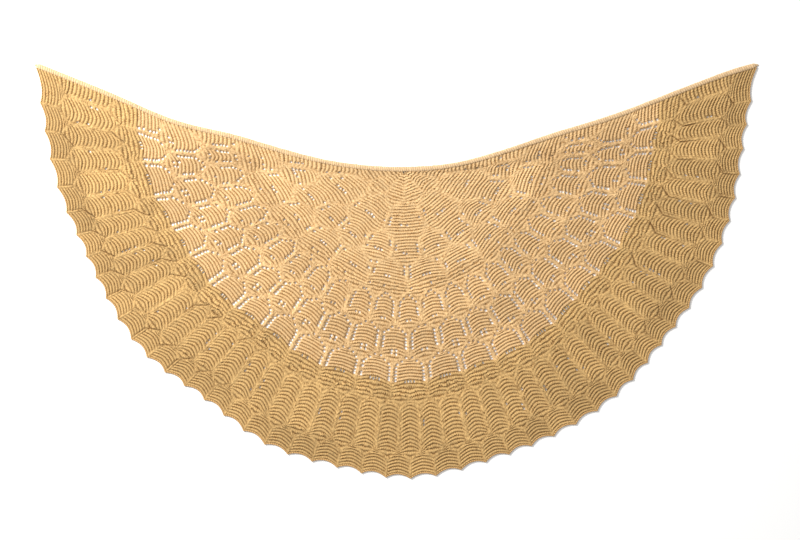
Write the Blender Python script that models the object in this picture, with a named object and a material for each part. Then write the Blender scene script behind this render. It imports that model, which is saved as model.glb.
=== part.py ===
# A crescent shawl in leaf lace, hand knitted from the middle of the neck outwards and laid flat.
# Lengths are in metres. While it is drawn, the middle of the neck seam is at the origin, the wings
# reach out along X and the scalloped edge lies towards -Y. At the end it is centred on its outline.

import math
from collections import namedtuple

import bmesh
import bpy
import numpy as np
from mathutils.geometry import delaunay_2d_cdt

# The cloth
CLOTH_THICKNESS = 0.0022
RIB_RISE = 0.0015
RIB_HALF_WIDTH = 0.0036
LEAF_RISE = 0.0008
WAVE_RISE = 0.0009
SEAM_GAP = 0.0003

# The scalloped edge: one scallop for each leaf of the last round
SCALLOPS = 48
SCALLOP_DEPTH = 0.009
SCALLOP_SEGMENTS = 4
BOUND_OFF_WIDTH = 0.0036
BOUND_OFF_HEIGHT = 0.0034

# The rolled cord along the neck
CORD_WIDTH = 0.0090
CORD_HEIGHT = 0.0052
CORD_STATIONS = 72
CORD_WAVES = 31
CORD_WAVE_SHARE = 0.10

# The eyelets beside the ribs, one to each garter ridge, counted back from the outermost one
EYELET_RADIUS = 0.0027
EYELET_CORNERS = 5
EYELET_FROM_RIB = 0.0066
EYELET_CLEARANCE = 0.0011
FIRST_EYELET = 0.7
RIDGE_PITCH = 0.0071

# The ribs fork where a leaf begins, and the forks of neighbours meet this much further out
FORK_SHARE = 0.036
# No two points of the top lie closer than this, apart from those round an eyelet
NARROWEST_STEP = 0.0030
# A rib or a leaf that takes more than this share of the way is long and gets more points
LONG_SHARE = 0.1
# The leaves' high points stay this share of the way clear of the next round
LEAF_END_SHARE = 0.015
# Ribs and leaves keep this part of their own width clear of the neck seam
NECK_MARGIN = 0.3
# Points along the neck seam for each unit of the way out
SEAM_POINTS = 30

# The stitch columns spread towards the wings in the inner rounds, and turn in along the neck seam
SPREAD = 0.15
SPREAD_POWER = 1.3
SPREAD_LIMIT = 0.085
SPREAD_MIDDLE = 0.46
EDGE_FADE = 0.10
NECK_REACH = 0.22

# The rounds lie further out in the wings than in the middle
WING_DRIFT = 0.05
WING_END = 0.05
WING_START = 0.30

# The seam between the lace and the neck cord, from the left wing tip to the right one
SeamRow = namedtuple("SeamRow", "across up")
NECK_SEAM = (
    SeamRow(-0.763, 0.216),
    SeamRow(-0.713, 0.196),
    SeamRow(-0.651, 0.171),
    SeamRow(-0.568, 0.136),
    SeamRow(-0.485, 0.101),
    SeamRow(-0.361, 0.069),
    SeamRow(-0.236, 0.033),
    SeamRow(-0.112, 0.007),
    SeamRow(0.000, 0.000),
    SeamRow(0.106, 0.009),
    SeamRow(0.220, 0.040),
    SeamRow(0.323, 0.074),
    SeamRow(0.427, 0.106),
    SeamRow(0.531, 0.145),
    SeamRow(0.614, 0.177),
    SeamRow(0.686, 0.203),
    SeamRow(0.732, 0.216),
)

# The line through the points of the scallops, counted from the left wing tip
EdgeRow = namedtuple("EdgeRow", "scallop across up")
EDGE_LINE = (
    EdgeRow(0, -0.763, 0.216),
    EdgeRow(1, -0.754, 0.142),
    EdgeRow(2, -0.745, 0.084),
    EdgeRow(4, -0.719, -0.033),
    EdgeRow(6, -0.679, -0.132),
    EdgeRow(9, -0.618, -0.263),
    EdgeRow(12, -0.533, -0.385),
    EdgeRow(15, -0.414, -0.474),
    EdgeRow(18, -0.289, -0.566),
    EdgeRow(21, -0.139, -0.614),
    EdgeRow(24, 0.014, -0.637),
    EdgeRow(27, 0.170, -0.603),
    EdgeRow(30, 0.311, -0.549),
    EdgeRow(33, 0.441, -0.466),
    EdgeRow(36, 0.534, -0.360),
    EdgeRow(39, 0.618, -0.241),
    EdgeRow(42, 0.675, -0.102),
    EdgeRow(44, 0.696, -0.005),
    EdgeRow(46, 0.711, 0.097),
    EdgeRow(47, 0.720, 0.146),
    EdgeRow(48, 0.732, 0.216),
)

# The rounds of leaves from the neck outwards. Start and end are shares of the way to the edge line.
# Shift is the place of the first leaf, in leaves, so that each round's leaves sit between the last
# round's. Openings is the number of eyelets cut beside each rib, on each side, and last_opening
# the share that they reach out to.
Round = namedtuple("Round", "panel leaves shift start end openings last_opening")
ROUNDS = (
    Round("centre_lace", 6, 0.5, 0.000, 0.090, 0, 0.090),
    Round("centre_lace", 6, 0.0, 0.090, 0.198, 0, 0.198),
    Round("centre_lace", 12, 0.0, 0.198, 0.284, 0, 0.284),
    Round("centre_lace", 12, 0.5, 0.284, 0.361, 0, 0.361),
    Round("middle_lace", 24, 0.5, 0.361, 0.392, 0, 0.392),
    Round("middle_lace", 24, 0.0, 0.392, 0.495, 0, 0.495),
    Round("middle_lace", 24, 0.5, 0.495, 0.597, 2, 0.584),
    Round("middle_lace", 24, 0.0, 0.597, 0.693, 4, 0.693),
    Round("leaf_border", 48, 0.5, 0.693, 0.738, 0, 0.738),
    Round("leaf_border", 48, 0.0, 0.738, 0.905, 0, 0.905),
    Round("leaf_border", 48, 0.5, 0.905, 1.000, 0, 1.000),
)

# Panels: the number of points along the inner and outer seam
Panel = namedtuple("Panel", "name inner_points outer_points")
PANELS = (
    Panel("centre_lace", 0, 48),
    Panel("middle_lace", 48, 96),
    Panel("leaf_border", 96, SCALLOPS * SCALLOP_SEGMENTS),
)

Finish = namedtuple("Finish", "colour roughness")
FINISHES = {
    "centre_lace": Finish((0.66, 0.42, 0.18), 0.86),
    "middle_lace": Finish((0.63, 0.39, 0.16), 0.86),
    "leaf_border": Finish((0.58, 0.35, 0.13), 0.86),
    "neck_edging": Finish((0.72, 0.50, 0.25), 0.84),
    "bound_off_edge": Finish((0.64, 0.41, 0.17), 0.84),
}


def smooth_through(keys, values):
    """A natural cubic curve through rows of values at rising keys."""
    keys = np.asarray(keys, float)
    values = np.asarray(values, float)
    steps = np.diff(keys)
    slopes = np.diff(values, axis=0) / steps[:, None]
    system = np.eye(len(keys))
    change = np.zeros_like(values)
    for i in range(1, len(keys) - 1):
        system[i, i - 1] = steps[i - 1]
        system[i, i] = 2.0 * (steps[i - 1] + steps[i])
        system[i, i + 1] = steps[i]
        change[i] = 6.0 * (slopes[i] - slopes[i - 1])
    bend = np.linalg.solve(system, change)

    def at(key):
        key = np.atleast_1d(np.asarray(key, float))
        i = np.clip(np.searchsorted(keys, key, side="right") - 1, 0, len(keys) - 2)
        step = steps[i][:, None]
        before = (keys[i + 1] - key)[:, None] / step
        after = 1.0 - before
        curve = (before**3 - before) * bend[i] + (after**3 - after) * bend[i + 1]
        return before * values[i] + after * values[i + 1] + curve * step**2 / 6.0

    return at


SEAM_ROWS = np.array(NECK_SEAM)
EDGE_ROWS = np.array(EDGE_LINE)
seam_height = smooth_through(SEAM_ROWS[:, 0], SEAM_ROWS[:, 1:])
edge_line = smooth_through(EDGE_ROWS[:, 0] / SCALLOPS, EDGE_ROWS[:, 1:])


def smooth_step(value):
    value = np.clip(value, 0.0, 1.0)
    return value * value * (3.0 - 2.0 * value)


def seam_point(wing_tip, share):
    """The point on the neck seam that is this share of the way out to a wing tip."""
    across = wing_tip * share
    return np.column_stack((across, seam_height(across)[:, 0]))


def place(column, share):
    """The plan position of a stitch column (0 at the left wing, 1 at the right) at a share of the
    way from the neck to the edge line."""
    column, share = np.broadcast_arrays(np.atleast_1d(column), np.atleast_1d(share))
    column = column.astype(float)
    share = share.astype(float)
    from_tip = np.minimum(column, 1.0 - column)
    wing = smooth_step((WING_START - from_tip) / (WING_START - WING_END))
    share = share + WING_DRIFT * wing * 4.0 * share * (1.0 - share)
    spread = np.minimum(SPREAD * (1.0 - np.clip(share, 0.0, 1.0)) ** SPREAD_POWER, SPREAD_LIMIT)
    fade = smooth_step(column / EDGE_FADE) * smooth_step((1.0 - column) / EDGE_FADE)
    turn = column + spread * (column - SPREAD_MIDDLE) * fade
    rim = edge_line(turn)
    point = rim * share[:, None]
    for tip, reach in ((EDGE_ROWS[0, 1:], turn), (EDGE_ROWS[-1, 1:], 1.0 - turn)):
        pull = np.clip(1.0 - reach / NECK_REACH, 0.0, 1.0)[:, None] ** 2
        point = point + pull * (seam_point(tip[0], share) - tip * share[:, None])
    return point


def reach_at(column):
    """The distance from the middle of the neck to the edge line along a stitch column."""
    return float(np.hypot(*edge_line(column)[0]))


def scallop_share(column, inset):
    """The share at which the scalloped edge lies, moved inwards by inset."""
    along = (column * SCALLOPS) % 1.0
    hollow = SCALLOP_DEPTH * (1.0 - (2.0 * along - 1.0) ** 2)
    return 1.0 - (hollow + inset) / reach_at(column)


def soft_wave(x, y):
    """The gentle unevenness of cloth that was pinned out to dry and let go."""
    first = math.sin(9.0 * x + 5.0 * y + 0.6) * math.sin(11.0 * y - 4.0 * x)
    second = 0.5 * math.sin(23.0 * x - 9.0 * y + 1.9) * math.cos(17.0 * y + 6.0 * x)
    return WAVE_RISE * (0.5 + 0.35 * (first + second))


class Sheet:
    """Collects the plan points and creases of one panel, and turns them into a solid wall."""

    def __init__(self, outline):
        self.points = []
        self.heights = []
        self.edges = []
        self.eyelets = []
        self.outline = [self.add(point, CLOTH_THICKNESS) for point in outline]

    def add(self, point, height):
        self.points.append((float(point[0]), float(point[1])))
        self.heights.append(height)
        return len(self.points) - 1

    def add_if_clear(self, point, height):
        """Adds a loose point unless it crowds another or lies in an eyelet."""
        offsets = np.asarray(self.points) - np.asarray(point)
        if np.hypot(offsets[:, 0], offsets[:, 1]).min() < NARROWEST_STEP:
            return
        for centre, _ in self.eyelets:
            if math.dist(centre, point) < EYELET_RADIUS + EYELET_CLEARANCE:
                return
        self.add(point, height)

    def cut_eyelet(self, centre, outward):
        """Cuts one eyelet with a corner pointing away from its rib."""
        ring = []
        for corner in range(EYELET_CORNERS):
            angle = math.atan2(outward[1], outward[0]) + 2.0 * math.pi * corner / EYELET_CORNERS
            arm = EYELET_RADIUS * np.array((math.cos(angle), math.sin(angle)))
            ring.append(self.add(centre + arm, CLOTH_THICKNESS))
        self.eyelets.append((tuple(centre), ring))
        self.edges += zip(ring, ring[1:] + ring[:1])

    def mesh(self):
        """A flat-bottomed wall under the creased top, open at the eyelets."""
        corners, _, faces, source, _, _ = delaunay_2d_cdt(
            self.points, self.edges, [self.outline], 1, 1e-7
        )
        eyelet_of = {i: number for number, (_, ring) in enumerate(self.eyelets) for i in ring}
        crossing = CLOTH_THICKNESS + RIB_RISE
        solid = bmesh.new()
        upper = []
        lower = []
        around = []
        for (x, y), own in zip(corners, source):
            top = self.heights[own[0]] if own else crossing
            upper.append(solid.verts.new((x, y, top + soft_wave(x, y))))
            lower.append(solid.verts.new((x, y, 0.0)))
            around.append(eyelet_of.get(own[0]) if own else None)
        rim = set()
        for face in faces:
            touched = {around[i] for i in face}
            if len(touched) == 1 and None not in touched:
                continue
            solid.faces.new([upper[i] for i in face])
            solid.faces.new([lower[i] for i in reversed(face)])
            for start, end in zip(face, face[1:] + face[:1]):
                if (end, start) in rim:
                    rim.remove((end, start))
                else:
                    rim.add((start, end))
        for start, end in sorted(rim):
            solid.faces.new((upper[start], lower[start], lower[end], upper[end]))
        loose = [vertex for vertex in solid.verts if not vertex.link_faces]
        bmesh.ops.delete(solid, geom=loose, context="VERTS")
        return solid


def panel_outline(panel, start, end):
    """The outline of one panel as a loop of plan points, anticlockwise."""
    half_gap = 0.5 * SEAM_GAP

    def inner_share(column):
        return start + half_gap / reach_at(column)

    def outer_share(column):
        if panel == PANELS[-1]:
            return scallop_share(column, BOUND_OFF_WIDTH + SEAM_GAP)
        return end - half_gap / reach_at(column)

    def along_neck(column):
        """Points along one side of the neck seam, from the inside out, without its ends."""
        inner = inner_share(column) if panel.inner_points else 0.0
        outer = outer_share(column)
        count = max(2, round((outer - inner) * SEAM_POINTS))
        return [place(column, share)[0] for share in np.linspace(inner, outer, count + 1)[1:-1]]

    loop = []
    for step in range(panel.outer_points + 1):
        column = step / panel.outer_points
        loop.append(place(column, outer_share(column))[0])
    loop += along_neck(1.0)[::-1]
    if panel.inner_points:
        for step in range(panel.inner_points, -1, -1):
            column = step / panel.inner_points
            loop.append(place(column, inner_share(column))[0])
    else:
        loop.append(np.zeros(2))
    return loop + along_neck(0.0)


Rib = namedtuple("Rib", "round following column inner outer")


def list_ribs(rounds):
    """Every rib of a panel. It runs from where two forks meet to where it forks itself."""
    ribs = []
    for number, item in enumerate(rounds):
        following = rounds[number + 1] if number + 1 < len(rounds) else None
        margin = NECK_MARGIN / item.leaves
        for place_in_round in range(-1, item.leaves + 1):
            column = (place_in_round + 0.5 + item.shift) / item.leaves
            if not margin < column < 1.0 - margin:
                continue
            step = NARROWEST_STEP / reach_at(column)
            inner = item.start + (FORK_SHARE if number else step)
            outer = item.end
            if item.start == 0.0:
                inner = 0.5 * item.end
            if following is None:
                outer -= step
            if item.end == 1.0:
                outer -= (BOUND_OFF_WIDTH + SEAM_GAP) / reach_at(column)
            ribs.append(Rib(item, following, column, inner, outer))
    return ribs


def across_rib(start, end):
    """The unit direction across a rib, in plan."""
    along = (end - start) / np.hypot(*(end - start))
    return np.array((-along[1], along[0]))


def cut_eyelets(sheet, rib):
    """A row of eyelets on each side of a rib."""
    pitch = RIDGE_PITCH / reach_at(rib.column)
    last = min(rib.outer, rib.round.last_opening)
    for ridge in range(rib.round.openings):
        share = last - (ridge + FIRST_EYELET) * pitch
        here, ahead = place(rib.column, (share, share + pitch))
        for outward in (across_rib(here, ahead), -across_rib(here, ahead)):
            sheet.cut_eyelet(here + EYELET_FROM_RIB * outward, outward)


def raise_ribs(sheet, ribs):
    """Raises the ribs and their forks, and presses the cloth down again along their sides."""
    crest = CLOTH_THICKNESS + RIB_RISE
    stretches = []
    starts = {}
    ends = []
    for rib in ribs:
        shares = np.linspace(rib.inner, rib.outer, 4 if rib.outer - rib.inner > LONG_SHARE else 2)
        points = place(rib.column, shares)
        indices = [sheet.add(point, crest) for point in points]
        sheet.edges += zip(indices, indices[1:])
        stretches += [(first, first, second) for first, second in zip(points, points[1:])]
        stretches.append((points[-1], points[-2], points[-1]))
        starts[rib.round.start, round(rib.column, 4)] = indices[0]
        ends.append(indices[-1])
    for rib, end in zip(ribs, ends):
        if rib.following is None:
            continue
        for side in (-0.5, 0.5):
            column = round(rib.column + side / rib.following.leaves, 4)
            meeting = starts.get((rib.following.start, column))
            if meeting is not None:
                sheet.edges.append((end, meeting))
                first, second = np.array(sheet.points)[[end, meeting]]
                stretches.append((0.5 * (first + second), first, second))
    for middle, first, second in stretches:
        foot = RIB_HALF_WIDTH * across_rib(first, second)
        sheet.add_if_clear(middle + foot, CLOTH_THICKNESS)
        sheet.add_if_clear(middle - foot, CLOTH_THICKNESS)


def raise_leaves(sheet, item):
    """The soft high points of one round's leaves."""
    margin = NECK_MARGIN / item.leaves
    length = item.end - item.start
    count = 3 if length > LONG_SHARE + FORK_SHARE else 1
    for leaf in range(item.leaves + 1):
        column = (leaf + item.shift) / item.leaves
        if not margin < column < 1.0 - margin:
            continue
        for step in range(count):
            along = (step + FIRST_EYELET) / count
            share = item.start + 0.5 * FORK_SHARE + (length - FORK_SHARE) * along
            share = min(share, item.end - LEAF_END_SHARE)
            sheet.add_if_clear(place(column, share)[0], CLOTH_THICKNESS + LEAF_RISE)


def knit_panel(panel):
    """One panel of the lace: its outline, eyelets, forking ribs and the leaves between them."""
    rounds = [item for item in ROUNDS if item.panel == panel.name]
    sheet = Sheet(panel_outline(panel, rounds[0].start, rounds[-1].end))
    ribs = list_ribs(rounds)
    for rib in ribs:
        cut_eyelets(sheet, rib)
    raise_ribs(sheet, ribs)
    for item in rounds:
        raise_leaves(sheet, item)
    return sheet.mesh()


def sweep(stations):
    """A closed band through rings of equal size, with flat ends."""
    solid = bmesh.new()
    rings = [[solid.verts.new(corner) for corner in ring] for ring in stations]
    for ring, following in zip(rings, rings[1:]):
        for i, corner in enumerate(ring):
            j = (i + 1) % len(ring)
            solid.faces.new((corner, ring[j], following[j], following[i]))
    solid.faces.new(rings[0][::-1])
    solid.faces.new(rings[-1])
    bmesh.ops.recalc_face_normals(solid, faces=solid.faces)
    return solid


def bind_off():
    """The chain that closes the last row, along the scallops."""
    profile = ((0.0, 0.0), (0.0, 0.62), (0.55, 1.0), (1.0, 0.0))
    stations = []
    count = SCALLOPS * SCALLOP_SEGMENTS
    for step in range(count + 1):
        column = step / count
        ring = []
        for inset, height in profile:
            x, y = place(column, scallop_share(column, inset * BOUND_OFF_WIDTH))[0]
            ring.append((x, y, height * BOUND_OFF_HEIGHT))
        stations.append(ring)
    return sweep(stations)


def neck_cord():
    """The first rows of the knitting, which roll over into a soft cord along the neck."""
    left = SEAM_ROWS[0, 0] - 0.5 * CORD_WIDTH
    right = SEAM_ROWS[-1, 0] + 0.5 * CORD_WIDTH
    profile = ((-0.5, 0.0), (0.5, 0.0), (0.5, 0.5), (0.24, 0.93), (-0.16, 1.0), (-0.46, 0.62))
    stations = []
    for step in range(CORD_STATIONS + 1):
        across = left + (right - left) * step / CORD_STATIONS
        low, middle, high = seam_height((across - 0.001, across, across + 0.001))[:, 0]
        away = np.array((low - high, 0.002)) / math.hypot(low - high, 0.002)
        wave = 1.0 + CORD_WAVE_SHARE * math.sin(CORD_WAVES * 2.0 * math.pi * step / CORD_STATIONS)
        width = CORD_WIDTH * wave
        ring = []
        for out, height in profile:
            offset = SEAM_GAP + (out + 0.5) * width
            x, y = np.array((across, middle)) + away * offset
            ring.append((x, y, height * CORD_HEIGHT))
        stations.append(ring)
    return sweep(stations)


def finish(name):
    """A wool finish in the piece's own shade."""
    material = bpy.data.materials.new(name + "_wool")
    material.use_nodes = True
    surface = material.node_tree.nodes["Principled BSDF"]
    surface.inputs["Base Color"].default_value = (*FINISHES[name].colour, 1.0)
    surface.inputs["Roughness"].default_value = FINISHES[name].roughness
    surface.inputs["Metallic"].default_value = 0.0
    return material


def put_on_table(name, solid, centre):
    """Adds a piece to the scene, centred on the shawl's outline."""
    bmesh.ops.triangulate(solid, faces=solid.faces)
    for vertex in solid.verts:
        vertex.co.x -= centre[0]
        vertex.co.y -= centre[1]
    mesh = bpy.data.meshes.new(name)
    solid.to_mesh(mesh)
    solid.free()
    mesh.materials.append(finish(name))
    piece = bpy.data.objects.new(name, mesh)
    bpy.context.scene.collection.objects.link(piece)


def make_shawl():
    for old in list(bpy.data.objects):
        bpy.data.objects.remove(old, do_unlink=True)
    pieces = {panel.name: knit_panel(panel) for panel in PANELS}
    pieces["neck_edging"] = neck_cord()
    pieces["bound_off_edge"] = bind_off()
    plan = np.array([vertex.co[:2] for solid in pieces.values() for vertex in solid.verts])
    centre = 0.5 * (plan.min(axis=0) + plan.max(axis=0))
    for name, solid in pieces.items():
        put_on_table(name, solid, centre)


make_shawl()
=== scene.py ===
import math
from collections import namedtuple

import bpy
import numpy as np
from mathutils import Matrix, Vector


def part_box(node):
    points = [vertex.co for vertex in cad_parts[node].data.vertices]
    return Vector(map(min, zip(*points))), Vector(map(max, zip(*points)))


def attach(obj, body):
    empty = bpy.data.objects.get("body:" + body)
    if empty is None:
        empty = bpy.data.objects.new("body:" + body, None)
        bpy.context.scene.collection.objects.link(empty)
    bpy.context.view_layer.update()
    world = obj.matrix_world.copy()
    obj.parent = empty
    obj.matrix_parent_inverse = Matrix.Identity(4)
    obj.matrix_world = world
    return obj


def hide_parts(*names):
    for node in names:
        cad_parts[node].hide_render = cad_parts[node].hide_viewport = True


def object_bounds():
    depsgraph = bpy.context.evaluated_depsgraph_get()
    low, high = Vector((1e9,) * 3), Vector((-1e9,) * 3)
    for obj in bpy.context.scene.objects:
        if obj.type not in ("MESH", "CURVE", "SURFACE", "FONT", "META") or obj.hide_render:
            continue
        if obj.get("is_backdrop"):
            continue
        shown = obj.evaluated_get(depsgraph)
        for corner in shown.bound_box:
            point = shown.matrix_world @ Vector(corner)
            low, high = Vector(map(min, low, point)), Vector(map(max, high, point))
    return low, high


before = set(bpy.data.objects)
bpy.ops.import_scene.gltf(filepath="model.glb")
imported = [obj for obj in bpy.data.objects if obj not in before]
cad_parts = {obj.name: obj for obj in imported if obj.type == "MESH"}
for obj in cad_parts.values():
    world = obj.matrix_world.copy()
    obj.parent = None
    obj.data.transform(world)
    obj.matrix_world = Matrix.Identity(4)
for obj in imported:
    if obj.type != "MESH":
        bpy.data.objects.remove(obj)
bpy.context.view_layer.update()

# ---- Neck edging ----
# The first rows of the knitting, worked a little loose in the same wool. They roll over by
# themselves into a soft cord along the neck, with the stitches slanting round it.

MM = 0.001
SCALLOPS = 48
SCALLOP_DEPTH = 9 * MM
BOUND_OFF_WIDTH = 3.6 * MM

# The seam between the lace and the cord, across and up, from the left wing tip to the right one
NECK_SEAM = np.array((
    (-0.763, 0.216), (-0.713, 0.196), (-0.651, 0.171), (-0.568, 0.136), (-0.485, 0.101),
    (-0.361, 0.069), (-0.236, 0.033), (-0.112, 0.007), (0.000, 0.000), (0.106, 0.009),
    (0.220, 0.040), (0.323, 0.074), (0.427, 0.106), (0.531, 0.145), (0.614, 0.177),
    (0.686, 0.203), (0.732, 0.216),
))
# The line through the scallops' points: scallop number, across and up
EDGE_LINE = np.array((
    (0, -0.763, 0.216), (1, -0.754, 0.142), (2, -0.745, 0.084), (4, -0.719, -0.033),
    (6, -0.679, -0.132), (9, -0.618, -0.263), (12, -0.533, -0.385), (15, -0.414, -0.474),
    (18, -0.289, -0.566), (21, -0.139, -0.614), (24, 0.014, -0.637), (27, 0.170, -0.603),
    (30, 0.311, -0.549), (33, 0.441, -0.466), (36, 0.534, -0.360), (39, 0.618, -0.241),
    (42, 0.675, -0.102), (44, 0.696, -0.005), (46, 0.711, 0.097), (47, 0.720, 0.146),
    (48, 0.732, 0.216),
))


def smooth_through(keys, values):
    """A natural cubic curve through rows of values at rising keys."""
    steps = np.diff(keys)
    slopes = np.diff(values, axis=0) / steps[:, None]
    system = np.eye(len(keys))
    change = np.zeros_like(values)
    for i in range(1, len(keys) - 1):
        system[i, i - 1:i + 2] = steps[i - 1], 2 * (steps[i - 1] + steps[i]), steps[i]
        change[i] = 6 * (slopes[i] - slopes[i - 1])
    bend = np.linalg.solve(system, change)

    def at(key):
        i = np.clip(np.searchsorted(keys, key, side="right") - 1, 0, len(keys) - 2)
        step = steps[i][:, None]
        before = (keys[i + 1] - key)[:, None] / step
        after = 1 - before
        curve = (before**3 - before) * bend[i] + (after**3 - after) * bend[i + 1]
        return before * values[i] + after * values[i + 1] + curve * step**2 / 6

    return at


seam_height = smooth_through(NECK_SEAM[:, 0], NECK_SEAM[:, 1:])
edge_line = smooth_through(EDGE_LINE[:, 0] / SCALLOPS, EDGE_LINE[:, 1:])


def smooth_step(value):
    value = np.clip(value, 0, 1)
    return value * value * (3 - 2 * value)


def reach_at(column):
    """The distance from the middle of the neck to the edge line along a stitch column."""
    return np.hypot(*edge_line(column).T)


def drawn(column, share):
    """The plan of the shawl: a stitch column, 0 at the left wing and 1 at the right, at a share of
    the way from the neck to the edge. The middle of the neck is at the origin."""
    from_tip = np.minimum(column, 1 - column)
    wing = smooth_step((0.30 - from_tip) / 0.25)
    share = share + 0.05 * wing * 4 * share * (1 - share)
    spread = np.minimum(0.15 * (1 - np.clip(share, 0, 1)) ** 1.3, 0.085)
    fade = smooth_step(column / 0.10) * smooth_step((1 - column) / 0.10)
    turn = column + spread * (column - 0.46) * fade
    point = edge_line(turn) * share[:, None]
    for tip, near in ((EDGE_LINE[0, 1:], turn), (EDGE_LINE[-1, 1:], 1 - turn)):
        across = tip[0] * share
        on_seam = np.column_stack((across, seam_height(across)[:, 0]))
        pull = np.clip(1 - near / 0.22, 0, 1)[:, None] ** 2
        point = point + pull * (on_seam - tip * share[:, None])
    return point


def scallop_share(column, inset):
    """The share at which the scalloped edge lies, moved inwards by inset."""
    along = (column * SCALLOPS) % 1
    hollow = SCALLOP_DEPTH * (1 - (2 * along - 1) ** 2)
    return 1 - (hollow + inset) / reach_at(column)


# The drawing's origin in the frame, from the edge solid, whose corners lie at these same points
quarters = np.linspace(0, 1, SCALLOPS * 4 + 1)
corners = np.vstack([drawn(quarters, scallop_share(quarters, x * BOUND_OFF_WIDTH)) for x in (0, 0.55, 1)])
ORIGIN = np.array(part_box("bound_off_edge")[0][:2]) - corners.min(axis=0)


def place(column, share):
    return drawn(column, share) + ORIGIN


class Link:
    """A shader socket. Arithmetic on it adds Math nodes."""

    def __init__(self, socket):
        self.socket = socket

    def node(self, kind, settings, sockets, out=0):
        """Any other node: its settings first, then the values or links of its sockets."""
        made = self.socket.id_data.nodes.new("ShaderNode" + kind)
        for name, value in settings.items():
            setattr(made, name, value)
        for name, value in sockets.items():
            if isinstance(value, Link):
                self.socket.id_data.links.new(value.socket, made.inputs[name])
            else:
                made.inputs[name].default_value = value
        return Link(made.outputs[out])

    def math(self, operation, *values):
        return self.node("Math", {"operation": operation}, dict(enumerate(values)))

    def __add__(self, other):
        return self.math("ADD", self, other)

    def __sub__(self, other):
        return self.math("SUBTRACT", self, other)

    def __rsub__(self, other):
        return self.math("SUBTRACT", other, self)

    def __mul__(self, other):
        return self.math("MULTIPLY", self, other)

    def __pow__(self, other):
        return self.math("POWER", self, other)

    __radd__ = __add__
    __rmul__ = __mul__


def wool(name, light, painted_shade_colour, plies=1.0):
    """Hand-knitting wool. Its colour runs from light on the crests to a painted shade colour in the
    hollows, with uneven dye, and its plies and loose fibres stand out as relief."""
    material = bpy.data.materials.new(name)
    material.use_nodes = True
    surface = material.node_tree.nodes["Principled BSDF"]
    start = Link(surface.inputs["Base Color"])

    def attribute(title):
        return start.node("Attribute", {"attribute_name": title}, {}, out="Fac")

    def noise(scale, detail, where):
        sockets = {"Vector": where, "Scale": scale, "Detail": detail, "Roughness": 0.6}
        return start.node("TexNoise", {}, sockets)

    def mixed(share, first, second, blend="MIX"):
        settings = {"data_type": "RGBA", "blend_type": blend}
        return start.node("Mix", settings, {0: share, 6: first, 7: second}, out=2)

    spot = start.node("TexCoord", {}, {}, out="Object")
    # hollow: how much painted shade a point takes, in the valleys, between the loops and in the creases
    hollow = attribute("hollow")
    shade = attribute("shade")
    lit = mixed(hollow, (*light, 1), (*painted_shade_colour, 1))
    dye = noise(9.0, 3.0, spot) * 0.5 + noise(420.0, 2.0, spot) * 0.5
    # shade: uneven tone of the wool, with painted shade darkening the outer border
    tone = 0.56 + dye * 0.5 + shade * 0.36
    grey = start.node("CombineColor", {}, {0: tone, 1: tone, 2: tone * 0.98 + 0.01})
    colour = mixed(1.0, lit, grey, "MULTIPLY")
    start.socket.id_data.links.new(colour.socket, surface.inputs["Base Color"])

    turns = start.node("UVMap", {"uv_map": "knit"}, {})
    across = start.node("SeparateXYZ", {}, {0: turns})
    out = Link(across.socket.node.outputs[1])
    slant = (across * 3.0 + out * 1.5) * (2 * math.pi)
    ply = slant.math("SINE", slant)
    fibres = noise(1500.0, 3.0, spot)
    relief = ply * 0.10 * plies + fibres * 0.55
    bump = start.node("Bump", {}, {"Height": relief, "Strength": 0.5, "Distance": 0.6 * MM})
    start.socket.id_data.links.new(bump.socket, surface.inputs["Normal"])
    rough = 0.80 + fibres * 0.16
    start.socket.id_data.links.new(rough.socket, surface.inputs["Roughness"])
    surface.inputs["Specular IOR Level"].default_value = 0.25
    surface.inputs["Sheen Weight"].default_value = 0.18
    surface.inputs["Sheen Roughness"].default_value = 0.45
    surface.inputs["Sheen Tint"].default_value = (1.0, 0.86, 0.66, 1.0)
    return material


def made_piece(name, points, faces, material, uvs, attributes, normals=None):
    """A mesh object from points, faces of any size and values for each face corner or point."""
    mesh = bpy.data.meshes.new(name)
    mesh.from_pydata(points, [], faces)
    for title, values in uvs.items():
        layer = mesh.uv_layers.new(name=title)
        layer.data.foreach_set("uv", np.ascontiguousarray(values, np.float32).ravel())
    for title, values in attributes.items():
        layer = mesh.attributes.new(title, "FLOAT", "POINT")
        layer.data.foreach_set("value", np.ascontiguousarray(values, np.float32))
    mesh.shade_smooth()
    if normals is not None:
        mesh.normals_split_custom_set_from_vertices(normals)
    mesh.materials.append(material)
    piece = bpy.data.objects.new(name, mesh)
    bpy.context.scene.collection.objects.link(piece)
    return piece


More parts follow.
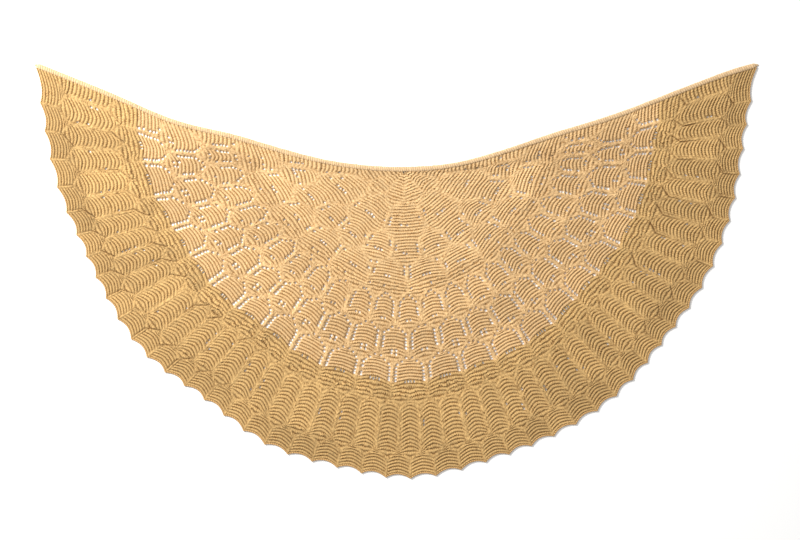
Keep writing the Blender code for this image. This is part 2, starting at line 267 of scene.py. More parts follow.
def ring_band(rings, turns, name, material, hollow, shade):
    """A closed tube through rings of points, with the stitch count along it as its knit map."""
    count, size = rings.shape[:2]
    index = np.arange(count * size).reshape(count, size)
    around = np.roll(index, -1, axis=1)
    quads = np.stack((index[:-1], around[:-1], around[1:], index[1:]), axis=-1).reshape(-1, 4)
    faces = quads.tolist() + [index[0][::-1].tolist(), index[-1].tolist()]
    step, corner = np.divmod(np.arange((count - 1) * size), size)
    knit = np.stack((
        np.stack((turns[step], turns[step], turns[step + 1], turns[step + 1]), axis=-1),
        np.stack((corner, corner + 1, corner + 1, corner), axis=-1) / size,
    ), axis=-1).reshape(-1, 2)
    lanes = 8
    lane = np.minimum(step * lanes // (count - 1), lanes - 1)[:, None]
    knit4 = knit.reshape(-1, 4, 2)
    along = np.stack((step, step, step + 1, step + 1), axis=-1) / (count - 1) * lanes - lane
    bake = np.stack((0.01 + 0.98 * along, (lane + 0.04 + 0.92 * knit4[..., 1]) / lanes * 0.98), axis=-1)
    ends = np.linspace(0, 2 * math.pi, size, endpoint=False)
    disc = np.column_stack((np.cos(ends), np.sin(ends))) * 0.004
    knit = np.vstack((knit, np.zeros((size * 2, 2))))
    bake = np.vstack((bake.reshape(-1, 2), disc[::-1] + (0.25, 0.99), disc + (0.75, 0.99)))
    return made_piece(
        name, rings.reshape(-1, 3).tolist(), faces, material,
        {"knit": knit, "OFBake": bake}, {"hollow": hollow.ravel(), "shade": shade.ravel()},
    )


CORD_WIDTH = 9.8 * MM
CORD_HEIGHT = 4.9 * MM
CORD_STITCHES = 330
CORD_SIDES = 12
rng = np.random.default_rng(11)
steps = CORD_STITCHES * 4 + 1
across = np.linspace(NECK_SEAM[0, 0] - 3 * MM, NECK_SEAM[-1, 0] + 3 * MM, steps)
rise = seam_height(np.clip(across, NECK_SEAM[0, 0], NECK_SEAM[-1, 0]))[:, 0]
slope = np.gradient(rise, across)
away = np.column_stack((-slope, np.ones(steps))) / np.hypot(slope, 1)[:, None]
ahead = np.column_stack((away[:, 1], -away[:, 0]))
turns = np.linspace(0, CORD_STITCHES, steps)
sides = np.arange(CORD_SIDES) / CORD_SIDES
twist = turns[:, None] - 1.2 * sides[None, :]
bead = np.cos(2 * math.pi * twist)
slow = np.sin(turns * 0.083) * 0.5 + np.sin(turns * 0.217 + 1.0) * 0.35 + np.sin(turns * 0.61) * 0.2
end_taper = smooth_step(np.minimum(turns, CORD_STITCHES - turns) / 3.0 + 0.25)[:, None]
uneven = rng.normal(0, 1, (steps, CORD_SIDES))
radius = (1 + 0.07 * bead + 0.10 * slow[:, None] + 0.05 * uneven) * end_taper
angle = 2 * math.pi * sides[None, :]
square = np.abs(np.sin(angle)) ** 0.7 * np.sign(np.sin(angle))
out = (0.5 * CORD_WIDTH * np.cos(angle)) * radius
up = 0.5 * CORD_HEIGHT * (1 + square * (1 + 0.10 * bead + 0.07 * uneven)) * end_taper
up = np.maximum(up, 0.0)
centre = np.column_stack((across, rise)) + away * (0.5 * CORD_WIDTH - 0.5 * MM) + ORIGIN
flat = centre[:, None, :] + away[:, None, :] * out[..., None]
flat = flat + ahead[:, None, :] * (0.35 * MM * uneven)[..., None]
rings = np.concatenate((flat, up[..., None]), axis=-1)
# Painted shade between the beads of the cord
hollow = np.clip(0.42 - 0.40 * bead, 0, 1) * 0.75
neck_wool = wool("neck_wool", (0.77, 0.55, 0.325), (0.38, 0.22, 0.09))
neck_cord = ring_band(rings, turns, "rolled_neck_cord", neck_wool, hollow, rng.random((steps, CORD_SIDES)))
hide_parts("neck_edging")
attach(neck_cord, "root")

# ---- Centre lace ----
# The rounds of leaves nearest the neck, knitted in garter stitch outwards from its middle. Each
# ridge is two rows. Smooth ribs part the leaves, and fork where the next round begins.

# Rounds: leaves, place of the first leaf, start and end as shares of the way out, sag of the ridges
# between the ribs where the round begins and ends, rise of the ribs, how smooth the ribs are and
# how wide, eyelets beside each rib, the share that they reach out to, their radius, and how often
# one is open
Round = namedtuple(
    "Round",
    "leaves shift start end sag_first sag_last rib_rise smooth band_width"
    " openings last_opening radius open_share",
)
ROUNDS = [Round(*values) for values in (
    (6, 0.5, 0.000, 0.090, 2.0 * MM, 3.0 * MM, 0.3 * MM, 0.5, 4 * MM, 0, 0.090, 0.0, 0.0),
    (6, 0.0, 0.090, 0.198, 4.0 * MM, 7.0 * MM, 0.4 * MM, 0.6, 7 * MM, 4, 0.190, 1.8 * MM, 0.5),
    (12, 0.0, 0.198, 0.284, 5.0 * MM, 8.0 * MM, 0.5 * MM, 0.7, 8 * MM, 4, 0.276, 1.8 * MM, 0.55),
    (12, 0.5, 0.284, 0.361, 5.0 * MM, 8.0 * MM, 0.5 * MM, 0.7, 8 * MM, 4, 0.353, 1.9 * MM, 0.6),
    (24, 0.5, 0.361, 0.392, 1.5 * MM, 2.5 * MM, 0.3 * MM, 0.6, 4 * MM, 1, 0.388, 1.7 * MM, 0.4),
    (24, 0.0, 0.392, 0.495, 6.0 * MM, 10.0 * MM, 0.6 * MM, 0.8, 9 * MM, 5, 0.478, 2.0 * MM, 0.8),
    (24, 0.5, 0.495, 0.597, 4.0 * MM, 11.0 * MM, 0.7 * MM, 0.85, 10 * MM, 6, 0.584, 2.35 * MM, 0.96),
    (24, 0.0, 0.597, 0.693, 4.0 * MM, 10.0 * MM, 0.7 * MM, 0.85, 10 * MM, 6, 0.693, 2.45 * MM, 0.98),
    (48, 0.5, 0.693, 0.738, 3.0 * MM, 5.0 * MM, 0.3 * MM, 0.6, 5 * MM, 0, 0.738, 0.0, 0.0),
    (48, 0.0, 0.738, 0.905, 11.0 * MM, 13.0 * MM, 0.45 * MM, 0.75, 7.5 * MM, 8, 0.880, 1.4 * MM, 0.10),
    (48, 0.5, 0.905, 1.000, 10.0 * MM, SCALLOP_DEPTH, 0.5 * MM, 0.75, 5 * MM, 0, 1.000, 0.0, 0.0),
)]
# Stitches across from this share of the way outwards: new ones are added as the cloth widens
STITCHES = (
    (0.0, 4), (0.012, 12), (0.024, 20), (0.045, 32), (0.075, 48), (0.105, 68), (0.15, 100),
    (0.198, 144), (0.284, 192), (0.361, 288), (0.495, 352), (0.597, 416), (0.693, 448),
    (0.738, 512), (0.905, 576),
)
# Ridges worked by each share of the way out: they are closer in the middle than in the border
RIDGE_COUNTS = (0, 36, 48, 57, 66, 83, 92)
RIDGE_SHARES = (0.0, 0.361, 0.495, 0.597, 0.693, 0.905, 1.0)
RIDGES = RIDGE_COUNTS[-1]
ROWS = 4
FIRST_ROW = 2
# Where the rows of points lie within a ridge, and how high: in the valley, up one side, on the
# crest and down the other side
ROW_PLACES = np.array((0.0, 0.21, 0.5, 0.79))
ROW_HEIGHTS = np.array((-1.0, 0.25, 0.95, 0.25)) * 1.05 * MM
# How much each row of points stands up and moves out where a loop of the stitch crosses it
LOOP_RISES = np.array((-0.40, 0.70, 0.45, -0.70)) * MM
LOOP_LEANS = np.array((0.25, 0.85, 0.85, 0.75)) * MM
LOOP_PLACES = np.array((0.10, -0.08, 0.0, 0.08))
# How much painted shade the colour takes on each row of points, most in the valley, and how much less or more
# where a loop crosses it
PAINTED_VALLEY_SHADES = np.array((1.0, 0.46, 0.08, 0.46))
PAINTED_LOOP_SHADES = np.array((0.12, 0.42, 0.28, -0.42))
CLOTH_HEIGHT = 2.3 * MM
FORK_SHARE = 0.036
RIB_HALF_WIDTH = 2.9 * MM
FORK_HALF_WIDTH = 2.1 * MM
EYELET_FROM_RIB = 6.6 * MM

row_count = RIDGES * ROWS + 1
ridge_of_row = np.arange(row_count) // ROWS + ROW_PLACES[np.arange(row_count) % ROWS]
row_share = np.interp(ridge_of_row, RIDGE_COUNTS, RIDGE_SHARES)


def ridges_at(share):
    return float(np.interp(share, RIDGE_SHARES, RIDGE_COUNTS))


first_rows = [ROWS * math.ceil(ridges_at(start) - 1e-9) for start, _ in STITCHES] + [row_count]
stitches_in_row = np.zeros(row_count, int)
for (_, stitches), first, after in zip(STITCHES, first_rows, first_rows[1:]):
    stitches_in_row[first:after] = stitches
columns_in_row = stitches_in_row * 3
row_start = np.concatenate(([0], np.cumsum(columns_in_row + 1)))
row_of = np.repeat(np.arange(row_count), columns_in_row + 1)
place_in_row = np.arange(row_start[-1]) - row_start[row_of]
column = place_in_row / columns_in_row[row_of]
ridge = ridge_of_row[row_of]
phase = row_of % ROWS
reach = reach_at(column)


def leaf_phase(column, leaves, shift):
    """0 and 1 at the ribs and 0.5 in the middle of a leaf."""
    return (column * leaves - shift + 0.5) % 1


# The share of each point: the ridges sag towards the ribs, more so in the outer rounds
mean_share = row_share[row_of] * (1 - (SCALLOP_DEPTH * 2 / 3 + BOUND_OFF_WIDTH) / reach)
share = mean_share.copy()
rng = np.random.default_rng(3)
for leaves, shift, start, end, sag_first, sag_last, *_ in ROUNDS:
    opening = smooth_step((mean_share - start + 0.010) / 0.044) if start else 1.0
    closing = 1 - smooth_step((mean_share - end + 0.010) / 0.044) if end < 1 else 1.0
    length = np.clip((mean_share - start) / (end - start), 0, 1)
    sag = sag_first + (sag_last - sag_first) * length
    along = leaf_phase(column, leaves, shift)
    # an arch with a round crown and steep sides, a little deeper in one leaf than in the next
    arch = 0.75 * (2 * along - 1) ** 2 + 0.25 * np.abs(2 * along - 1) - 0.375
    unlike = 1 + 0.16 * rng.normal(0, 1, leaves + 2)[np.floor(column * leaves - shift + 0.5).astype(int) + 1]
    unlike = 1 + (unlike - 1) * (1 - np.abs(2 * along - 1) ** 3) * (end < 1)
    share += sag * unlike * opening * closing * arch / reach
flat = place(column, share)
# How wide the whole row is at each point, in metres for all the columns
just_right = np.clip(column + 1e-4, 0, 1)
just_left = np.clip(column - 1e-4, 0, 1)
wide = np.hypot(*(drawn(just_right, share) - drawn(just_left, share)).T) / (just_right - just_left)


def line_distance(column, count, offset):
    """How far a column is from the nearest of count evenly spaced ones, in columns."""
    along = column * count - offset
    return np.abs(along - np.round(along)) / count


rng = np.random.default_rng(5)
rib = np.zeros(len(column))
rise = np.zeros(len(column))
crease = np.zeros(len(column))
dome = np.zeros(len(column))
leaf_tone = np.zeros(len(column))
for number, (leaves, shift, start, end, _, _, rib_rise, smooth, band_width, *_) in enumerate(ROUNDS):
    inside = (share >= start) & (share < end)
    along = leaf_phase(column, leaves, shift)
    leaf_number = np.floor(column * leaves - shift + 0.5).astype(int) + 1
    length = np.clip((share - start) / (end - start), 0, 1)
    dome[inside] = (np.sin(math.pi * along) ** 1.5 * np.sin(math.pi * length) ** 0.7)[inside]
    leaf_tone[inside] = rng.normal(0, 1, leaves + 3)[leaf_number][inside]
    distance = line_distance(column, leaves, 0.5 + shift) * wide
    body = inside & (share >= start + (FORK_SHARE if number else 0.04))
    profile = np.clip(1 - (distance / RIB_HALF_WIDTH) ** 2, 0, 1)
    wide_band = 1 - smooth_step((distance / band_width - 0.35) / 0.85)
    # a crease runs down one side of a rib where it begins, and soon fades: a groove, also darkened with
    # painted shade
    rib_number = np.round(column * leaves - 0.5 - shift).astype(int) + 1
    depth = rng.random(leaves + 4)[rib_number] ** 1.5 * 1.5
    side = (column * leaves - 0.5 - shift - rib_number + 1) / leaves * wide
    fading = np.exp(-((share - start - FORK_SHARE) / 0.05) ** 2)
    for line, steep in ((2.8 * MM, 1.0), (-3.0 * MM, 0.5)):
        dip = np.exp(-((side + line) / (1.1 * MM)) ** 2) * (0.15 + steep * fading * depth) * (leaves > 24)
        crease[body] = np.maximum(crease, dip)[body]
    if number:
        before, before_shift = ROUNDS[number - 1][:2]
        meets = (0.5 + before_shift) / before * leaves - 0.5 - shift
        fork = inside & (share < start + FORK_SHARE)
        way = np.clip((share - start) / FORK_SHARE, 0, 1)
        if abs(meets - round(meets)) < 1e-6:
            distance = line_distance(column, before, 0.5 + before_shift) * wide
            straight = np.clip(1 - (distance / RIB_HALF_WIDTH) ** 2, 0, 1)
            broad = 1 - smooth_step((distance / band_width - 0.35) / 0.85)
            rib[fork] = np.maximum(rib, smooth * broad)[fork]
            rise[fork] = np.maximum(rise, rib_rise * straight)[fork]
        else:
            slant = 0.5 / leaves * wide
            lean = FORK_SHARE * reach / np.hypot(slant, FORK_SHARE * reach)
            for side, steep in ((-0.5, 1.0), (0.5, 0.35)):
                place_now = column * before - (0.5 + before_shift + side * way / leaves * before)
                near = np.round(place_now).astype(int)
                signed = (place_now - near) / before * wide * lean
                band = np.clip(1 - (signed / FORK_HALF_WIDTH) ** 2, 0, 1)
                broad = 1 - smooth_step((np.abs(signed) / band_width - 0.35) / 0.6)
                rib[fork] = np.maximum(rib, 0.9 * smooth * broad)[fork]
                rise[fork] = np.maximum(rise, 0.6 * rib_rise * band)[fork]
                depth = (0.25 + rng.random(before + 4))[near + 1]
                dip = np.exp(-((signed + 2.0 * MM) / (1.2 * MM)) ** 2) * steep * depth * (0.5 + (leaves > 24))
                crease[fork] = np.maximum(crease, dip)[fork]
    rib[body] = np.maximum(rib, smooth * wide_band)[body]
    rise[body] = np.maximum(rise, rib_rise * profile)[body]
tip_fade = smooth_step(np.minimum(column, 1 - column) * wide / (12 * MM))
rib *= tip_fade
rise *= tip_fade
in_wings = smooth_step((np.abs(column - 0.53) - 0.14) / 0.16)
crease = np.clip(crease, 0, 1.2) * tip_fade * (0.35 + 0.65 * in_wings)

# Uneven hand knitting: slow swells of the whole cloth, ridges of unlike height, restless stitches
x, y = flat.T
plan_x, plan_y = x - ORIGIN[0], y - ORIGIN[1]
first = np.sin(9 * plan_x + 5 * plan_y + 0.6) * np.sin(11 * plan_y - 4 * plan_x)
second = 0.5 * np.sin(23 * plan_x - 9 * plan_y + 1.9) * np.cos(17 * plan_y + 6 * plan_x)
swell = 0.9 * MM * (0.5 + 0.35 * (first + second))
restless = rng.normal(0, 1, len(column))
stitch = column * stitches_in_row[row_of]
bead = np.cos(2 * math.pi * (stitch + LOOP_PLACES[phase] + 0.05 * restless))
stitch_number = np.floor(stitch + 0.5).astype(int)
ridge_number = np.floor(ridge).astype(int)
tight = rng.normal(0, 1, (RIDGES + 2, 600))[ridge_number, stitch_number % 600]
row_tone = rng.normal(0, 1, RIDGES + 2)[ridge_number]
# Where a round of leaves begins, the stitches lie every way: start and end of such a stretch, as
# shares of the way out, and how much
MUDDLED = (
    (0.0, 0.20, 0.5), (0.355, 0.40, 0.7), (0.485, 0.515, 0.5),
    (0.588, 0.615, 0.6), (0.690, 0.750, 1.0), (0.893, 0.918, 0.7),
)
muddle = np.zeros(len(column))
for start, end, much in MUDDLED:
    begun = smooth_step((share - start) / 0.01)
    left = smooth_step((end - share) / 0.01)
    muddle = np.maximum(muddle, much * begun * left)
pair_number = np.floor(stitch / 2 + 0.37 * (ridge_number % 3)).astype(int)
knot = rng.normal(0, 1, (RIDGES + 2, 400))[ridge_number, pair_number % 400]
garter = 1 - rib
relief = ROW_HEIGHTS[phase] * (1 + 0.12 * tight - 0.25 * muddle)
relief += LOOP_RISES[phase] * bead * (1 + 0.3 * tight)
relief += (0.18 + 0.12 * muddle) * MM * restless + 0.30 * MM * muddle * knot
slip = np.cos(2 * math.pi * 2 * ridge + math.pi * (stitch_number % 2))
half_row = np.floor(2 * ridge).astype(int)
speck = rng.normal(0, 1, (2 * RIDGES + 3, 700))[half_row, np.floor(1.2 * stitch).astype(int)]
smooth_side = 0.26 * MM * slip + 0.20 * MM * restless + 0.22 * MM * bead + 0.28 * MM * speck
height = CLOTH_HEIGHT + swell + 0.5 * MM * dome
height += garter * relief + (1 - garter) * (0.35 * MM + smooth_side) + rise
height -= 1.2 * MM * crease
lean = LOOP_LEANS[phase] * bead * garter + (0.18 + 0.2 * muddle) * MM * restless + 0.9 * MM * muddle * knot
flat = place(column, share + lean / reach)
flat += rng.normal(0, 0.16 * MM, flat.shape) * tip_fade[:, None]
# Painted shade: dark in the valleys, between the loops and between the stitches of the smooth ribs, mixed
# with an uneven tone of the wool
hollow = PAINTED_VALLEY_SHADES[phase] - PAINTED_LOOP_SHADES[phase] * bead * (1 + 0.25 * tight)
knit_side = np.clip(0.30 - 0.18 * slip - 0.12 * bead + 0.12 * restless - 0.24 * speck, 0, 1)
hollow = np.clip(hollow, 0, 1) * garter + knit_side * (1 - garter)
# Painted shade in the creases
hollow = np.maximum(hollow, crease)
hollow = np.clip(hollow + 0.13 * restless + 0.08 * tight, 0, 1)
shade = 0.5 + 0.22 * tight + 0.26 * restless + 0.05 * row_tone + 0.12 * leaf_tone + 0.12 * muddle * knot
# Painted shade: the cloth darker towards the outer edge, which lies farther from the light
shade -= 0.22 * smooth_step((share - 0.84) / 0.10)

# The eyelets: a yarn over beside each rib, one to a ridge, and a few in the middle of a leaf


def row_near(way_out):
    return ROWS * round(ridges_at(way_out))


SEAMS = [FIRST_ROW] + [row_near(way_out) for way_out in (0.361, 0.545, 0.693, 0.790, 0.885)] + [row_count - 1]
RIDGE_SHARE = 7.1 * MM
wished = []
for this in ROUNDS:
    leaves, shift, start = this.leaves, this.shift, this.start
    openings, radius = this.openings, this.radius
    for number in range(-1, leaves + 1):
        rib_column = (number + 0.5 + shift) / leaves
        if not 0.25 / leaves < rib_column < 1 - 0.25 / leaves:
            continue
        out_here = reach_at(np.array([rib_column]))[0]
        pitch = RIDGE_SHARE / out_here
        for opening in range(openings + (2 if openings in (5, 6) else 0)):
            way_out = this.last_opening - (opening + 0.7) * pitch
            # the innermost ones follow the fork over the top of the leaf
            on_fork = max(0.0, 1 - (way_out - start) / FORK_SHARE) if openings in (5, 6) else 0.0
            for side in (-1, 1):
                chance, size = rng.random(2)
                if chance > this.open_share or way_out < start + 0.008:
                    continue
                near = np.array([rib_column, rib_column + 1e-3])
                metric = np.hypot(*np.diff(drawn(near, np.full(2, way_out)), axis=0)[0]) / 1e-3
                spot = rib_column + side * (EYELET_FROM_RIB / metric + 0.42 * on_fork / leaves)
                size_here = radius * (0.86 + 0.24 * size) * (1 - 0.25 * min(on_fork * 2, 1))
                wished.append((spot, way_out, size_here))
# pairs low in the middle of the leaves: leaves, place of the first, way out, holes, apart, radius
for leaves, shift, way_out, holes, apart, radius in (
    (24, 0.5, 0.584, 2, 9.4 * MM, 2.4 * MM),
    (24, 0.5, 0.596, 2, 9.4 * MM, 2.1 * MM),
    (24, 0.0, 0.684, 4, 6.0 * MM, 1.6 * MM),
    (12, 0.0, 0.268, 3, 6.0 * MM, 1.9 * MM),
    (12, 0.5, 0.345, 3, 6.4 * MM, 1.9 * MM),
    (6, 0.0, 0.178, 4, 6.6 * MM, 2.0 * MM),
    (24, 0.0, 0.486, 2, 8.0 * MM, 1.8 * MM),
):
    for number in range(leaves + 1):
        middle = (number + shift) / leaves
        if not 0.3 / leaves < middle < 1 - 0.3 / leaves:
            continue
        near = np.array([middle - 5e-4, middle + 5e-4])
        metric = np.hypot(*np.diff(drawn(near, np.full(2, way_out)), axis=0)[0]) / 1e-3
        for hole in range(holes):
            if rng.random() < 0.14:
                continue
            spot = middle + (hole - (holes - 1) / 2) * apart / metric
            wished.append((spot, way_out + rng.normal(0, 0.001), radius * (0.85 + 0.3 * rng.random())))

eyelets = []
taken = set()
for spot, way_out, radius in wished:
    guess = int(round(ridges_at(way_out) * ROWS))
    best = None
    for row in range(max(FIRST_ROW + 3, guess - 10), min(row_count - 5, guess + 11)):
        here = row_start[row] + round(spot * columns_in_row[row])
        off = abs(share[here] - way_out)
        same = columns_in_row[row - 1] == columns_in_row[row] == columns_in_row[row + 1]
        clear = min(abs(row - seam) for seam in SEAMS) > 1
        if same and clear and (best is None or off < best[0]):
            best = (off, row)
    row = best[1]
    number = round(spot * columns_in_row[row])
    if not 4 <= number <= columns_in_row[row] - 4:
        continue
    if any((row + up, number + along) in taken for up in range(-2, 3) for along in range(-2, 3)):
        continue
    taken.add((row, number))
    eyelets.append((row, number, radius))

# Each eyelet pushes the stitches round it aside, and they thin out towards its rim
resting = flat.copy()
push = np.zeros_like(flat)
lower = np.zeros(len(column))
is_middle = np.zeros(len(column), bool)
for row, number, radius in eyelets:
    middle = resting[row_start[row] + number]
    is_middle[row_start[row] + number] = True
    for other in range(max(FIRST_ROW, row - 5), min(row_count, row + 6)):
        spot = round(number / columns_in_row[row] * columns_in_row[other])
        low = row_start[other] + max(0, spot - 9)
        high = row_start[other] + min(columns_in_row[other], spot + 9) + 1
        offset = resting[low:high] - middle
        along_row = resting[row_start[row] + number + 2] - resting[row_start[row] + number - 2]
        along_row /= np.hypot(*along_row)
        sideways = offset @ along_row
        outwards = offset @ np.array((along_row[1], -along_row[0]))
        distance = np.maximum(np.hypot(sideways / 1.2, outwards / 0.84), 1e-6)
        moved = (distance**3 + radius**3) ** (1 / 3)
        fading = smooth_step((10 * MM - distance) / (4 * MM))
        push[low:high] += offset * (moved / distance - 1)[:, None] * fading[:, None]
        lower[low:high] = np.maximum(lower[low:high], 1 - smooth_step((moved - radius) / (1.7 * MM)))
push[is_middle] = 0
flat = resting + push * tip_fade[:, None]
height = height * (1 - lower) + 0.55 * MM * lower
# Painted shade on the sunken stitches round each eyelet
hollow = hollow * (1 - lower) + 0.30 * lower
height = np.maximum(height, 0.35 * MM)
height[is_middle] = -1.2 * MM
# The top of the cloth, and its underside, which lies on the table and just clears it below a valley
points = np.column_stack((flat, height))
underside = np.column_stack((flat, np.where(phase == 0, 0.30 * MM, 0.0)))

# Smooth normals from the whole cloth, so that no seam between its stretches shows
normals = np.zeros_like(points)
for row in range(FIRST_ROW, row_count):
    here = slice(row_start[row], row_start[row + 1])
    size = columns_in_row[row] + 1
    along = np.gradient(points[here], axis=0)
    below = row - 1 if row > FIRST_ROW and columns_in_row[row - 1] == columns_in_row[row] else row
    above = row + 1 if row + 1 < row_count and columns_in_row[row + 1] == columns_in_row[row] else row
    outer = points[row_start[above]:row_start[above] + size]
    inner = points[row_start[below]:row_start[below] + size]
    cross = np.cross(outer - inner, along)
    cross[cross[:, 2] < 0] *= -1
    normals[here] = cross / np.maximum(np.linalg.norm(cross, axis=1), 1e-12)[:, None]


def zip_rows(first, second):
    """Triangles between two rows of points with unlike counts."""
    strip = []
    i = j = 0
    while i < len(first) - 1 or j < len(second) - 1:
        if j == len(second) - 1 or i < len(first) - 1 and column[first[i + 1]] <= column[second[j + 1]]:
            strip.append((first[i], second[j], first[i + 1]))
            i += 1
        else:
            strip.append((first[i], second[j], second[j + 1]))
            j += 1
    return strip


def knitted(name, first_row, last_row, lanes, material):
    """One stretch of the cloth as a closed sheet: the stitches on top, a plainer underside, and
    the rims of the eyelets and of the stretch itself."""
    base = row_start[first_row]
    total = row_start[last_row + 1] - base
    gone = {}
    for number, (row, spot, _) in enumerate(eyelets):
        if first_row < row < last_row:
            for k in (row - 1, row):
                for i in (spot - 1, spot):
                    gone[(k, i)] = number
    faces = []
    zones = []
    kinds = []
    used = np.zeros(total, bool)

    def point(row, spot):
        return row_start[row] + spot

    blocks = []
    row = first_row
    while row < last_row:
        if columns_in_row[row] != columns_in_row[row + 1]:
            row += 1
            continue
        tall = 2 if row + 2 <= last_row and columns_in_row[row + 2] == columns_in_row[row] else 1
        blocks.append((row, tall))
        row += tall
    fine = set()
    for row, tall in blocks:
        for block in range(0, columns_in_row[row], 3):
            if any((row + k, block + i) in gone for k in range(tall) for i in range(3)):
                fine.add((row, block))
                for k in range(tall + 1):
                    for i in range(4):
                        used[point(row + k, block + i) - base] = True
            else:
                for k in (0, tall):
                    for i in (0, 3):
                        used[point(row + k, block + i) - base] = True
    for row in range(first_row, last_row):
        size = columns_in_row[row]
        if size != columns_in_row[row + 1]:
            inner = list(range(row_start[row], row_start[row + 1]))
            outer = list(range(row_start[row + 1], row_start[row + 2]))
            strip = zip_rows(inner, outer)
            faces += strip
            zones += [stitches_in_row[row]] * len(strip)
            kinds += [0] * len(strip)
            for line in (inner, outer):
                used[np.array(line[::3]) - base] = True
            continue
        for spot in range(size):
            if (row, spot) in gone:
                continue
            near = row_start[row] + spot
            far = row_start[row + 1] + spot
            faces.append((near, far, far + 1, near + 1))
        made = len(faces) - len(zones)
        zones += [stitches_in_row[row]] * made
        kinds += [0] * made
    lift = row_start[-1]
    for row, tall in blocks:
        for block in range(0, columns_in_row[row], 3):
            if (row, block) in fine:
                loops = []
                for near in range(row, row + tall):
                    for low in range(block, block + 3):
                        if (near, low) not in gone:
                            far, high = near + 1, low + 1
                            loops.append([(near, low), (far, low), (far, high), (near, high)])
            else:
                loop = [(row + k, block) for k in range(tall)]
                loop += [(row + tall, block + i) for i in range(3)]
                loop += [(row + k, block + 3) for k in range(tall, 0, -1)]
                loop += [(row, block + i) for i in range(3, 0, -1)]
                loops = [[spot for spot in loop if used[point(*spot) - base]]]
            for loop in loops:
                faces.append(tuple(point(*spot) + lift for spot in reversed(loop)))
                zones.append(stitches_in_row[row])
                kinds.append(1)
    for row in range(first_row, last_row):
        if columns_in_row[row] != columns_in_row[row + 1]:
            inner = [i for i in range(row_start[row], row_start[row + 1]) if used[i - base]]
            outer = [i for i in range(row_start[row + 1], row_start[row + 2]) if used[i - base]]
            strip = [tuple(i + lift for i in reversed(face)) for face in zip_rows(inner, outer)]
            faces += strip
            zones += [stitches_in_row[row]] * len(strip)
            kinds += [1] * len(strip)

    def rim(line, outwards):
        """A standing strip between a line of points on top and the ones in use below it."""
        kept = [n for n, i in enumerate(line) if used[i - base]]
        for low, high in zip(kept, kept[1:]):
            top = line[low:high + 1]
            below = [line[high] + lift, line[low] + lift]
            loop = top + below
            faces.append(tuple(loop if outwards else loop[::-1]))
            zones.append(stitches_in_row[row_of[line[low]]])
            kinds.append(2)

    rim(list(range(row_start[first_row], row_start[first_row + 1])), True)
    rim(list(range(row_start[last_row], row_start[last_row + 1])), False)
    rim([row_start[k] for k in range(first_row, last_row + 1)], False)
    rim([row_start[k + 1] - 1 for k in range(first_row, last_row + 1)], True)
    ring_of = {}
    for (row, spot), number in gone.items():
        middle_row, middle, _ = eyelets[number]
        loop = [(row, spot), (row + 1, spot), (row + 1, spot + 1), (row, spot + 1)]
        for start, end in zip(loop, loop[1:] + loop[:1]):
            if (middle_row, middle) in (start, end):
                continue
            a, b = point(*start), point(*end)
            faces.append((a, b, b + lift, a + lift))
            zones.append(stitches_in_row[row])
            kinds.append(3 + number)
    sizes = np.array([len(face) for face in faces])
    loops = np.concatenate([np.array(face) for face in faces])
    face_of = np.repeat(np.arange(len(faces)), sizes)
    kind = np.array(kinds)[face_of]
    zone = np.array(zones)[face_of]
    top = loops % lift
    is_below = loops >= lift
    knit = np.column_stack((column[top] * zone, ridge[top]))
    lane_of_face = np.array([int(np.mean(column[np.array(face) % lift]) * lanes) for face in faces])
    lane = np.minimum(lane_of_face, lanes - 1)[face_of]
    along = column[top] * lanes - lane
    low_ridge, high_ridge = ridge_of_row[first_row], ridge_of_row[last_row]
    out = (ridge[top] - low_ridge) / (high_ridge - low_ridge)
    standing = (kind == 2) & is_below
    rim_step = 0.012
    along = np.where(standing & (column[top] == 0), -rim_step * 0.5, along)
    along = np.where(standing & (column[top] == 1), 1 + rim_step * 0.5, along)
    side_wall = (column[top] == 0) | (column[top] == 1)
    out = np.where(standing & (row_of[top] == first_row) & ~side_wall, -rim_step, out)
    out = np.where(standing & (row_of[top] == last_row) & ~side_wall, 1 + rim_step, out)
    for_eyelet = (kind >= 3) & is_below
    number = np.maximum(kind - 3, 0)
    middles = np.array([row_start[row] + spot for row, spot, _ in eyelets])[number]
    along = np.where(for_eyelet, along + 0.6 * (column[middles] - column[top]) * lanes, along)
    out = np.where(for_eyelet, out + 0.6 * (ridge[middles] - ridge[top]) / (high_ridge - low_ridge), out)
    share_top = 0.66
    lane_height = 1 / lanes
    bottom = kind == 1
    v_top = (lane + 0.03 + (share_top - 0.06) * out) * lane_height
    v_bottom = (lane + share_top + 0.02 + (1 - share_top - 0.05) * out) * lane_height
    bake = np.column_stack((0.01 + 0.98 * along, np.where(bottom, v_bottom, v_top)))
    kept, loops = np.unique(loops, return_inverse=True)
    ends = np.cumsum(sizes)
    new_faces = [loops[end - size:end].tolist() for end, size in zip(ends, sizes)]
    below = kept >= lift
    own = kept % lift
    spots = np.where(below[:, None], underside[own], points[own])
    facing = np.where(below[:, None], np.array((0.0, 0.0, -1.0)), normals[own])
    return made_piece(
        name, spots.tolist(), new_faces, material, {"knit": knit, "OFBake": bake},
        {"hollow": np.where(below, 0.4, hollow[own]), "shade": shade[own]}, facing.tolist(),
    )


centre_wool = wool("centre_wool", (0.84, 0.57, 0.29), (0.24, 0.115, 0.032))
centre_lace = knitted("centre_lace_knit", SEAMS[0], SEAMS[1], 3, centre_wool)
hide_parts("centre_lace")
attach(centre_lace, "root")

# ---- Middle lace ----
# Two rounds and a half of twenty-four leaves each, in the same wool and worked straight on from
# the centre. The eyelets beside the ribs are at their widest here.

middle_wool = wool("middle_wool", (0.82, 0.545, 0.27), (0.21, 0.10, 0.028))
middle_inner = knitted("middle_lace_inner_knit", SEAMS[1], SEAMS[2], 4, middle_wool)
middle_outer = knitted("middle_lace_outer_knit", SEAMS[2], SEAMS[3], 4, middle_wool)
for stretch, flat_size, flat_area in (
    (middle_inner, (1.438, 0.150), 0.127),
    (middle_outer, (1.802, 0.112), 0.127),
):
    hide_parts("middle_lace")
    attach(stretch, "root")
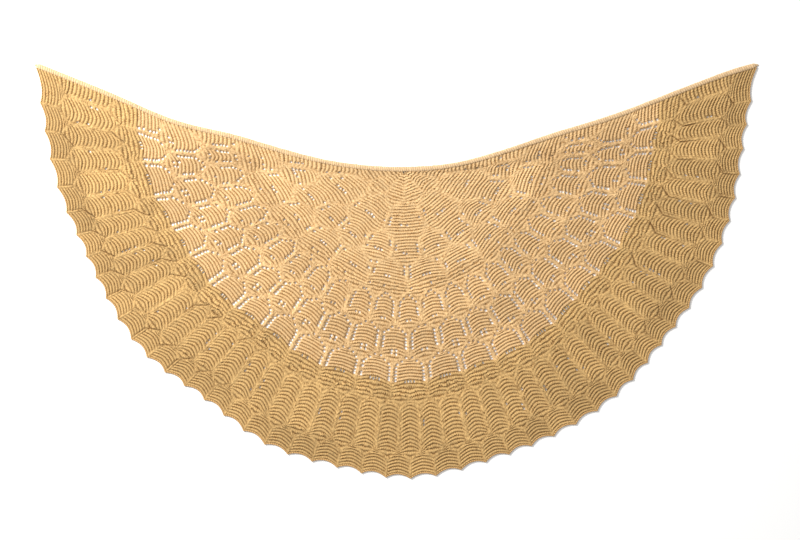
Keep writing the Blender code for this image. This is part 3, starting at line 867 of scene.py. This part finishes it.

# ---- Leaf border ----
# The last three rounds, of forty-eight leaves each: dense garter ridges that bow between the ribs
# and end in a scallop for each leaf.

# The same wool as the centre in a darker copy: painted shade on the border, which gets less light
border_wool = wool("border_wool", (0.735, 0.475, 0.195), (0.135, 0.06, 0.014))
border_inner = knitted("leaf_border_inner_knit", SEAMS[3], SEAMS[4], 4, border_wool)
border_middle = knitted("leaf_border_middle_knit", SEAMS[4], SEAMS[5], 4, border_wool)
border_outer = knitted("leaf_border_outer_knit", SEAMS[5], SEAMS[6], 4, border_wool)
for stretch in (border_inner, border_middle, border_outer):
    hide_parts("leaf_border")
    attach(stretch, "root")

# ---- Bound-off edge ----
# The chain that closes the last row: each stitch is drawn over the next, so that a line of small
# slanting links runs along the scallops.

CHAIN_STEPS = 576 * 4
CHAIN_SIDES = 8
rng = np.random.default_rng(23)
turns = np.linspace(0, 576, CHAIN_STEPS + 1)
chain_column = np.linspace(0, 1, CHAIN_STEPS + 1)
inner_line = place(chain_column, scallop_share(chain_column, BOUND_OFF_WIDTH + 0.6 * MM))
outer_line = place(chain_column, scallop_share(chain_column, 0.0))
middle_line = 0.5 * (inner_line + outer_line)
half = 0.5 * (outer_line - inner_line)
sides = np.arange(CHAIN_SIDES) / CHAIN_SIDES
angle = -2 * math.pi * sides[None, :]
link = np.cos(2 * math.pi * (turns[:, None] - 0.35 * np.cos(angle)))
uneven = rng.normal(0, 1, (CHAIN_STEPS + 1, CHAIN_SIDES))
radius = 1 + 0.13 * link + 0.04 * uneven
flat_ring = middle_line[:, None, :] + half[:, None, :] * (np.cos(angle) * radius)[..., None]
up = np.maximum(1.75 * MM * (1 + np.sin(angle) * radius), 0)
rings = np.concatenate((flat_ring, up[..., None]), axis=-1)
# Painted shade between the links of the chain
chain_painted_shade = np.clip(0.40 - 0.38 * link, 0, 1)
edge_wool = wool("edge_wool", (0.66, 0.41, 0.17), (0.25, 0.12, 0.035))
bound_off = ring_band(rings, turns, "bound_off_chain", edge_wool, chain_painted_shade, rng.random(link.shape))
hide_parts("bound_off_edge")
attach(bound_off, "root")

# ---- Table, light and camera ----
# The shawl lies on a plain white table, lit softly from the upper left and seen from straight above.

bpy.ops.mesh.primitive_plane_add(size=14.0, location=(0, 0, -0.3 * MM))
table = bpy.context.object
table.name = "table"
white = bpy.data.materials.new("white_table")
white.use_nodes = True
white.node_tree.nodes["Principled BSDF"].inputs["Base Color"].default_value = (0.93, 0.93, 0.93, 1)
white.node_tree.nodes["Principled BSDF"].inputs["Roughness"].default_value = 0.9
white.node_tree.nodes["Principled BSDF"].inputs["Specular IOR Level"].default_value = 0.1
table.data.materials.append(white)
table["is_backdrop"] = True


def soft_light(name, place_at, aim, size, power, colour):
    lamp = bpy.data.lights.new(name, "AREA")
    lamp.shape = "SQUARE"
    lamp.size = size
    lamp.energy = power
    lamp.color = colour
    holder = bpy.data.objects.new(name, lamp)
    holder.location = place_at
    holder.rotation_euler = (Vector(aim) - Vector(place_at)).to_track_quat("-Z", "Y").to_euler()
    bpy.context.scene.collection.objects.link(holder)


soft_light("window", (-2.1, 1.7, 2.0), (-0.1, 0.0, 0.0), 0.9, 165, (1.0, 0.985, 0.96))
scene = bpy.context.scene
scene.world = bpy.data.worlds.new("studio")
scene.world.use_nodes = True
scene.world.node_tree.nodes["Background"].inputs["Color"].default_value = (1, 1, 1, 1)
scene.world.node_tree.nodes["Background"].inputs["Strength"].default_value = 0.62
scene.view_settings.view_transform = "Standard"

lens = bpy.data.cameras.new("camera")
lens.lens = 85
lens.sensor_width = 36
camera = bpy.data.objects.new("camera", lens)
camera.location = (0.0075, 0.001, 3.915)
scene.collection.objects.link(camera)
scene.camera = camera

low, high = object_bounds()
